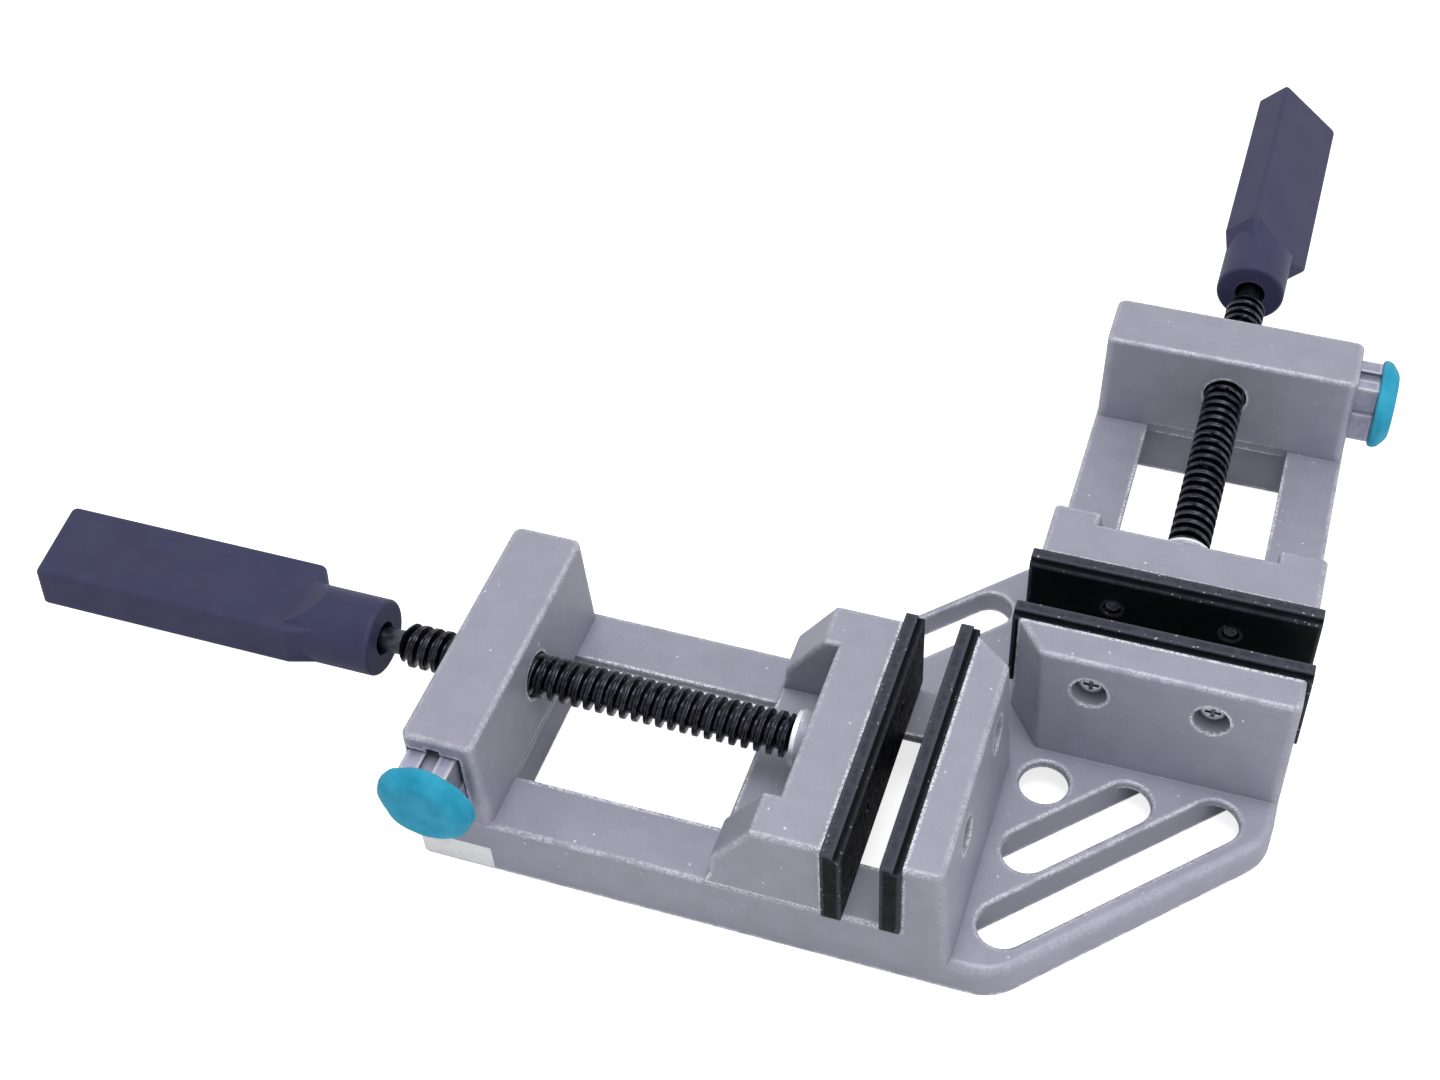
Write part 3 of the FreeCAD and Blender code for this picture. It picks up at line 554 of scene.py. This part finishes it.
thread_pitch = 0.004
thread_length = 0.1314
crest_radius = 0.0071
root_radius = 0.0049
stub_radius = 0.0040
stub_length = 0.0075
tang_length = 0.0240
tang_flat = 0.0030
tang_hidden = 0.0060
journal_length = 0.0207
end_bevel = 0.0004
groove_radius = 0.0032
groove_gap = 0.00005
run_out = 0.0022
run_out_power = 0.7
around = 72
crisp_angle_deg = 50
stub_slot = 1
crest_highlight_slot = 2
# Share of the pitch, and height there as a share of the thread's depth. The crest has a seam
# where the rolled metal met.
half_profile = ((0.50, 0.93), (0.535, 1.0), (0.64, 1.0), (0.69, 0.97), (0.725, 0.84),
                (0.765, 0.42), (0.81, 0.08), (0.87, 0.0))
crest_highlight_low = 0.0068
crest_highlight_high = 0.00708
steel_black = (0.002, 0.002, 0.007, 1)
# Lighter blue of the oil patches, a painted highlight.
steel_oil_and_highlight = (0.050, 0.054, 0.105, 1)
steel_roughs = (0.34, 0.16)
steel_metal = 0.75
steel_grain_noise = (0.0009, 3.0)
steel_depth = 0.00007
film_noise = (0.007, 4.0, 0.6)
film_range = (0.42, 0.62)
drop_noise = (0.0016, 3.0, 0.6)
drop_range = (0.55, 0.68)
oil_coat = 0.3
oil_rough = 0.12
# Grey of the painted highlight streaks on the crest corners.
crest_highlight_grey = (0.080, 0.080, 0.110, 1)
crest_highlight_metal = 0.9
crest_highlight_rough = 0.24
streak_noise = (0.0030, 3.0, 0.6)
streak_range = (0.40, 0.56)
streak_depth = 0.00003
stub_light = (0.09, 0.09, 0.11, 1)
stub_dark = (0.03, 0.03, 0.035, 1)
stub_rough = 0.3
stub_noise = (0.003, 3.0)
stub_range = (0.35, 0.7)
turning_scale = 2600
turning_detail = 2.0
turning_depth = 0.00001


def blackened_material():
    made, tree, shader = new_material("blackened_steel")
    wet = share(tree, spots(tree, *film_noise), *film_range)
    drops = share(tree, spots(tree, *drop_noise), *drop_range)
    # Oil patches: glossier, and painted a lighter blue as a highlight.
    oil_and_highlight = sum_up(tree, "MULTIPLY", wet, drops)
    tree.links.new(mixed(tree, oil_and_highlight, steel_black, steel_oil_and_highlight), shader.inputs["Base Color"])
    tree.links.new(share(tree, wet, *whole_range, *steel_roughs), shader.inputs["Roughness"])
    shader.inputs["Metallic"].default_value = steel_metal
    shader.inputs["Coat Weight"].default_value = oil_coat
    shader.inputs["Coat Roughness"].default_value = oil_rough
    plain = add(tree, "ShaderNodeNewGeometry").outputs["Normal"]
    relief = sum_up(tree, "ADD", spots(tree, *steel_grain_noise), oil_and_highlight)
    tree.links.new(bumped(tree, relief, steel_depth, plain), shader.inputs["Normal"])
    return made


def crest_highlight_material():
    """The corners of the crests, painted with short grey streaks of highlight."""
    made, tree, shader = new_material("crest_highlight_streaks")
    streaks = share(tree, spots(tree, *streak_noise), *streak_range)
    tree.links.new(mixed(tree, streaks, steel_black, crest_highlight_grey), shader.inputs["Base Color"])
    shader.inputs["Metallic"].default_value = crest_highlight_metal
    shader.inputs["Roughness"].default_value = crest_highlight_rough
    plain = add(tree, "ShaderNodeNewGeometry").outputs["Normal"]
    tree.links.new(bumped(tree, streaks, streak_depth, plain), shader.inputs["Normal"])
    return made


def stub_material():
    made, tree, shader = new_material("turned_stub")
    grain = {"Scale": turning_scale, "Detail": turning_detail}
    marks = add(tree, "ShaderNodeTexNoise", grain).outputs["Fac"]
    tone = share(tree, spots(tree, *stub_noise), *stub_range)
    tree.links.new(mixed(tree, tone, stub_light, stub_dark), shader.inputs["Base Color"])
    shader.inputs["Metallic"].default_value = 1.0
    shader.inputs["Roughness"].default_value = stub_rough
    plain = add(tree, "ShaderNodeNewGeometry").outputs["Normal"]
    tree.links.new(bumped(tree, marks, turning_depth, plain), shader.inputs["Normal"])
    return made


def turned_place(foot, outward):
    """Matrix that stands a piece turned about local Z at foot, Z pointing outward."""
    up = Vector((0, 0, 1))
    columns = Matrix((up.cross(outward), up, outward)).transposed().to_4x4()
    return Matrix.Translation(foot) @ columns


def ring_grid(rows):
    """Faces between rings of points stored one ring after another."""
    faces = []
    for row in range(rows - 1):
        low = row * around
        high = low + around
        for i in range(around):
            after = (i + 1) % around
            faces.append((low + i, low + after, high + after, high + i))
    return faces


def plain_part(outline):
    """Points and faces of a plain turned part from (along, radius) pairs."""
    points = []
    for along, radius in outline:
        for i in range(around):
            turn = 2 * math.pi * i / around
            across = radius * math.cos(turn)
            if along > thread_length + stub_length + tang_hidden:
                across = max(-tang_flat, min(tang_flat, across))
            points.append(Vector((radius * math.sin(turn), across, along)))
    return points, ring_grid(len(outline))


def thread_part():
    """Points and faces of the thread, its grid wound along the helix."""
    profile = list(half_profile)
    profile = [(1 - v, h) for v, h in reversed(profile[1:])] + profile
    per_turn = len(profile)
    rows = per_turn * (math.ceil(thread_length / thread_pitch) + 2)
    points, cut_off = [], []
    for row in range(rows + per_turn):
        turn_share, height = profile[row % per_turn]
        for i in range(around):
            along = thread_pitch * (row // per_turn - 1 + turn_share + i / around)
            free = 0 < along < thread_length
            along = max(0, min(thread_length, along))
            near_end = min(along, thread_length - along) / run_out
            fade = min(1, near_end) ** run_out_power
            radius = root_radius + (crest_radius - root_radius) * height * fade
            turn = 2 * math.pi * i / around
            points.append(Vector((radius * math.sin(turn), radius * math.cos(turn), along)))
            cut_off.append(not free)
    faces = []
    for row in range(rows):
        for i in range(around):
            if i + 1 < around:
                corners = (row * around + i, row * around + i + 1,
                           (row + 1) * around + i + 1, (row + 1) * around + i)
            else:
                # The end of each row joins the same row one turn further on.
                corners = (row * around + i, (row + per_turn) * around,
                           (row + 1 + per_turn) * around, (row + 1) * around + i)
                if (row + 1 + per_turn) * around >= len(points):
                    continue
            ends = [points[c].z for c in corners]
            # Rows that are squeezed flat beyond the thread's ends are left out.
            if all(cut_off[c] for c in corners) and max(ends) - min(ends) < end_bevel:
                continue
            faces.append(corners)
    return points, faces


def build_spindle(arm, outward, steel, stub, rubbed_and_highlight):
    """One spindle, its shoulder on the washer's outer face and its groove at the ring."""
    washer_low, washer_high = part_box("washer_" + arm)
    middle = (washer_low + washer_high) / 2
    shoulder = middle + outward * abs((washer_high - washer_low).dot(outward)) / 2
    ring_low, ring_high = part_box("retaining_ring_" + arm)
    ring_middle = (ring_low + ring_high) / 2
    ring_half = abs((ring_high - ring_low).dot(outward)) / 2 + groove_gap
    ring_at = (ring_middle - shoulder).dot(outward)
    groove_near = ring_at + ring_half
    groove_far = ring_at - ring_half
    front, front_faces = plain_part([
        (0, root_radius), (0, stub_radius), (groove_near, stub_radius),
        (groove_near, groove_radius), (groove_far, groove_radius), (groove_far, stub_radius),
        (end_bevel - journal_length, stub_radius), (-journal_length, stub_radius - end_bevel),
        (-journal_length, 0)])
    hub_face = thread_length + stub_length
    tang_end = hub_face + tang_length
    flat_start = hub_face + tang_hidden
    back, back_faces = plain_part([
        (thread_length, root_radius), (thread_length, stub_radius), (hub_face, stub_radius),
        (flat_start, stub_radius), (flat_start + groove_gap, stub_radius),
        (tang_end - end_bevel, stub_radius), (tang_end, stub_radius - end_bevel), (tang_end, 0)])
    screw, screw_faces = thread_part()
    points, faces = list(screw), list(screw_faces)
    for more, more_faces in ((front, front_faces), (back, back_faces)):
        start = len(points)
        points += more
        faces += [tuple(c + start for c in corners) for corners in more_faces]
    place = turned_place(shoulder, outward)
    piece = new_piece("threaded_spindle_" + arm, [place @ p for p in points], faces, steel,
                      "spindle_" + arm)
    piece.data.materials.append(stub)
    piece.data.materials.append(rubbed_and_highlight)
    back_to_axis = place.inverted()
    for face in piece.data.polygons:
        at = back_to_axis @ face.center
        if at.z > thread_length or at.z < 0:
            face.material_index = stub_slot
        elif crest_highlight_low < at.xy.length < crest_highlight_high:
            face.material_index = crest_highlight_slot
    sharp = piece.modifiers.new("crisp_steps", "EDGE_SPLIT")
    sharp.split_angle = math.radians(crisp_angle_deg)
    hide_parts("spindle_" + arm)


arm_outward = {"a": Vector((-1, 0, 0)), "b": Vector((0, 1, 0))}
steel = blackened_material()
stub = stub_material()
rubbed_and_highlight = crest_highlight_material()
for arm, outward in arm_outward.items():
    build_spindle(arm, outward, steel, stub, rubbed_and_highlight)

# Retaining rings and release springs
# Spring steel: an open ring on each journal behind the pad, and a coil behind each button, which
# shortens against its far end as the button goes in.

wire_light = (0.30, 0.30, 0.31, 1)
wire_dark = (0.12, 0.11, 0.11, 1)
wire_rough = 0.35
wire_noise = (0.002, 3.0)
wire_range = (0.35, 0.7)
wire_depth = 0.00001


def spring_material():
    made, tree, shader = new_material("spring_steel")
    tone = share(tree, spots(tree, *wire_noise), *wire_range)
    tree.links.new(mixed(tree, tone, wire_light, wire_dark), shader.inputs["Base Color"])
    shader.inputs["Metallic"].default_value = 1.0
    shader.inputs["Roughness"].default_value = wire_rough
    plain = add(tree, "ShaderNodeNewGeometry").outputs["Normal"]
    tree.links.new(bumped(tree, tone, wire_depth, plain), shader.inputs["Normal"])
    return made


def build_coil(arm, material):
    """The coil of an arm's CAD spring, copied with its own mesh and the spring material, riding
    on the base.
    """
    node = "release_spring_" + arm
    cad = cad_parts[node]
    coil = bpy.data.objects.new("release_coil_" + arm, cad.data.copy())
    bpy.context.collection.objects.link(coil)
    coil.matrix_world = cad.matrix_world.copy()
    coil.data.materials.clear()
    coil.data.materials.append(material)
    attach(coil, "base")
    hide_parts(node)
    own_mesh(coil)


spring = spring_material()
for arm, press in (("a", Vector((0, 1, 0))), ("b", Vector((-1, 0, 0)))):
    finish("retaining_ring_" + arm, spring)
    build_coil(arm, spring)

# Handles
# Slate blue moulded paddles pressed on the flatted ends of the spindles, with a fine matt texture
# from the mould, slightly paler arrises that are a painted highlight, and painted shade in the
# inner corners.

handle_blue = (0.038, 0.039, 0.091, 1)
handle_pale = (0.060, 0.061, 0.121, 1)
# Colour of the painted shade in inner corners.
handle_corner_shade = (0.02, 0.02, 0.035, 1)
handle_roughs = (0.36, 0.46)
handle_sheen = 0.1
handle_arris = 0.0004
handle_cloud_noise = (0.015, 3.0)
handle_cloud_range = (0.3, 0.7)
handle_cloud_shares = (0.0, 0.35)
handle_grain_noise = (0.00035, 2.0, 0.6)
handle_grain_range = (0.35, 0.65)
handle_grain_shares = (0.0, 0.25)
handle_grain_depth = 0.00004
handle_rough_range = (0.3, 0.7)
handle_edge_highlight_share = 0.6
handle_corner_shade_share = 0.4


def handle_material():
    made, tree, shader = new_material("slate_blue_plastic")
    found = edge_finder(tree, handle_arris)
    cloud = spots(tree, *handle_cloud_noise)
    cloud = share(tree, cloud, *handle_cloud_range, *handle_cloud_shares)
    grain = spots(tree, *handle_grain_noise)
    fine = share(tree, grain, *handle_grain_range, *handle_grain_shares)
    # Painted highlight: the arrises are painted paler.
    edge = sum_up(tree, "MULTIPLY", found.outputs["Edge"], handle_edge_highlight_share)
    plain_tone = sum_up(tree, "ADD", cloud, fine)
    tone = add(tree, "ShaderNodeMath", {0: plain_tone, 1: edge}, operation="ADD", use_clamp=True)
    colour = mixed(tree, tone.outputs[0], handle_blue, handle_pale)
    # Painted shade: inner corners are painted darker.
    corner = sum_up(tree, "MULTIPLY", found.outputs["Corner"], handle_corner_shade_share)
    colour = mixed(tree, corner, colour, handle_corner_shade)
    tree.links.new(colour, shader.inputs["Base Color"])
    rough = share(tree, grain, *handle_rough_range, *handle_roughs)
    tree.links.new(rough, shader.inputs["Roughness"])
    shader.inputs["Specular IOR Level"].default_value = handle_sheen
    normal = bumped(tree, grain, handle_grain_depth, found.outputs["Normal"])
    tree.links.new(normal, shader.inputs["Normal"])
    return made


handle_plastic = handle_material()
for arm in "ab":
    finish("handle_" + arm, handle_plastic)

# Release slides
# Plain zinc die castings that carry the half nut. The end that stands out of the block has a
# groove along its top and is brighter than the lacquered frame. Inner corners are painted darker
# as shade.

slider_light = (0.40, 0.40, 0.52, 1)
slider_dark = (0.17, 0.17, 0.23, 1)
slider_edge = (0.75, 0.75, 0.80, 1)
slider_edge_share = 0.5
slider_metal = 0.6
slider_rough = 0.4
slider_arris = 0.0005
slider_cloud_noise = (0.003, 4.0, 0.6)
slider_cloud_range = (0.35, 0.75)
slider_cloud_shares = (0.0, 0.45)
slider_skin_noise = (0.0006, 3.0)
slider_skin_depth = 0.00004


def slider_material():
    made, tree, shader = new_material("slider_metal")
    found = edge_finder(tree, slider_arris)
    cloud = spots(tree, *slider_cloud_noise)
    cloud = share(tree, cloud, *slider_cloud_range, *slider_cloud_shares)
    # Painted shade: inner corners are painted toward the dark slider colour, on top of the random
    # cloud.
    corner = sum_up(tree, "MAXIMUM", cloud, found.outputs["Corner"])
    colour = mixed(tree, corner, slider_light, slider_dark)
    edge = sum_up(tree, "MULTIPLY", found.outputs["Edge"], slider_edge_share)
    colour = mixed(tree, edge, colour, slider_edge)
    tree.links.new(colour, shader.inputs["Base Color"])
    shader.inputs["Metallic"].default_value = slider_metal
    shader.inputs["Roughness"].default_value = slider_rough
    skin = spots(tree, *slider_skin_noise)
    normal = bumped(tree, skin, slider_skin_depth, found.outputs["Normal"])
    tree.links.new(normal, shader.inputs["Normal"])
    return made


slider = slider_material()
for arm in "ab":
    finish("release_slider_" + arm, slider)

# Button caps
# Teal soft plastic buttons moulded onto the slides' pegs, with a thick rim and a sloped edge. The
# rim is a little uneven, two small gate marks sit on the face, and the edges are painted paler as
# a highlight.

cap_teal = (0.020, 0.290, 0.460, 1)
cap_light = (0.042, 0.380, 0.580, 1)
cap_edge_highlight = (0.16, 0.58, 0.68, 1)
cap_edge_highlight_share = 0.4
cap_roughs = (0.40, 0.52)
cap_sheen = 0.06
cap_arris = 0.0003
cap_cloud_noise = (0.008, 3.0)
cap_cloud_range = (0.3, 0.75)
cap_gloss_noise = (0.0016, 3.0)
cap_gloss_range = (0.3, 0.7)
cap_skin_noise = (0.0007, 3.0)
cap_skin_depth = 0.00004
cap_rim_depth = 0.0030
cap_rim_round = 0.0010
cap_round_share = 0.3
cap_slope_start = 0.97
cap_face_share = 0.74
cap_softness = 6
# Each wave of the uneven rim is its count around the cap, its height and its phase.
cap_waves = ((5, 0.00022, 0.6), (8, 0.00016, 2.1), (13, 0.00008, 4.0))
cap_rings = 26
# Places of the gate marks on the face, measured from its middle.
gate_marks = (Vector((-0.0094, 0.0031)), Vector((0.0003, 0.0032)))
gate_radius = 0.0009
gate_depth = 0.0003
peg_radius = 0.0049
peg_hole_depth = 0.0032


def cap_material():
    made, tree, shader = new_material("teal_plastic")
    found = edge_finder(tree, cap_arris)
    cloud = share(tree, spots(tree, *cap_cloud_noise), *cap_cloud_range)
    colour = mixed(tree, cloud, cap_teal, cap_light)
    # Painted highlight: the edges are painted a paler teal.
    edge = sum_up(tree, "MULTIPLY", found.outputs["Edge"], cap_edge_highlight_share)
    colour = mixed(tree, edge, colour, cap_edge_highlight)
    tree.links.new(colour, shader.inputs["Base Color"])
    rough = share(tree, spots(tree, *cap_gloss_noise), *cap_gloss_range, *cap_roughs)
    tree.links.new(rough, shader.inputs["Roughness"])
    shader.inputs["Specular IOR Level"].default_value = cap_sheen
    skin = spots(tree, *cap_skin_noise)
    normal = bumped(tree, skin, cap_skin_depth, found.outputs["Normal"])
    tree.links.new(normal, shader.inputs["Normal"])
    return made


def build_cap(arm, outward, material):
    """Cap in the place of the CAD cap, Z pointing out of the arm's side."""
    low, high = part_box("button_cap_" + arm)
    middle = (low + high) / 2
    depth = abs((high - low).dot(outward))
    radius = (high.z - low.z) / 2
    foot = middle - outward * depth / 2
    side = radius - sum(height for _, height, _ in cap_waves)

    def outline(turn):
        wave = sum(size * math.sin(count * turn + phase) for count, size, phase in cap_waves)
        return side + wave

    def dome(share_out):
        slope = (1 - share_out) / (1 - cap_face_share)
        rise = (1 + slope ** -cap_softness) ** (-1 / cap_softness)
        return cap_rim_depth + (depth - cap_rim_depth) * rise

    hole = ((peg_hole_depth, 0.0), (peg_hole_depth, peg_radius), (0.0, peg_radius))
    rounding = cap_rim_round * cap_round_share
    rim = ((0.0, cap_rim_round), (rounding, rounding),
           (cap_rim_round, 0.0), (cap_rim_depth - cap_rim_round, 0.0))
    points = []
    for along, ring in hole:
        for i in range(around):
            turn = 2 * math.pi * i / around
            points.append(Vector((ring * math.cos(turn), ring * math.sin(turn), along)))
    for along, inset in rim:
        for i in range(around):
            turn = 2 * math.pi * i / around
            ring = outline(turn) - inset
            points.append(Vector((ring * math.cos(turn), ring * math.sin(turn), along)))
    for step in range(cap_rings + 1):
        share_out = cap_slope_start * (1 - step / cap_rings)
        for i in range(around):
            turn = 2 * math.pi * i / around
            ring = outline(turn) * share_out
            spot = Vector((ring * math.cos(turn), ring * math.sin(turn)))
            along = dome(share_out)
            for mark in gate_marks:
                along -= gate_depth * max(0, 1 - (spot - mark).length / gate_radius)
            points.append(Vector((spot.x, spot.y, along)))
    faces = ring_grid(len(hole) + len(rim) + cap_rings + 1)
    place = turned_place(foot, outward)
    piece = new_piece("button_cap_soft_" + arm, [place @ p for p in points], faces, material,
                      "release_" + arm)
    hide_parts("button_cap_" + arm)


teal = cap_material()
build_cap("a", Vector((0, -1, 0)), teal)
build_cap("b", Vector((1, 0, 0)), teal)

bpy.context.scene.view_settings.view_transform = "Standard"
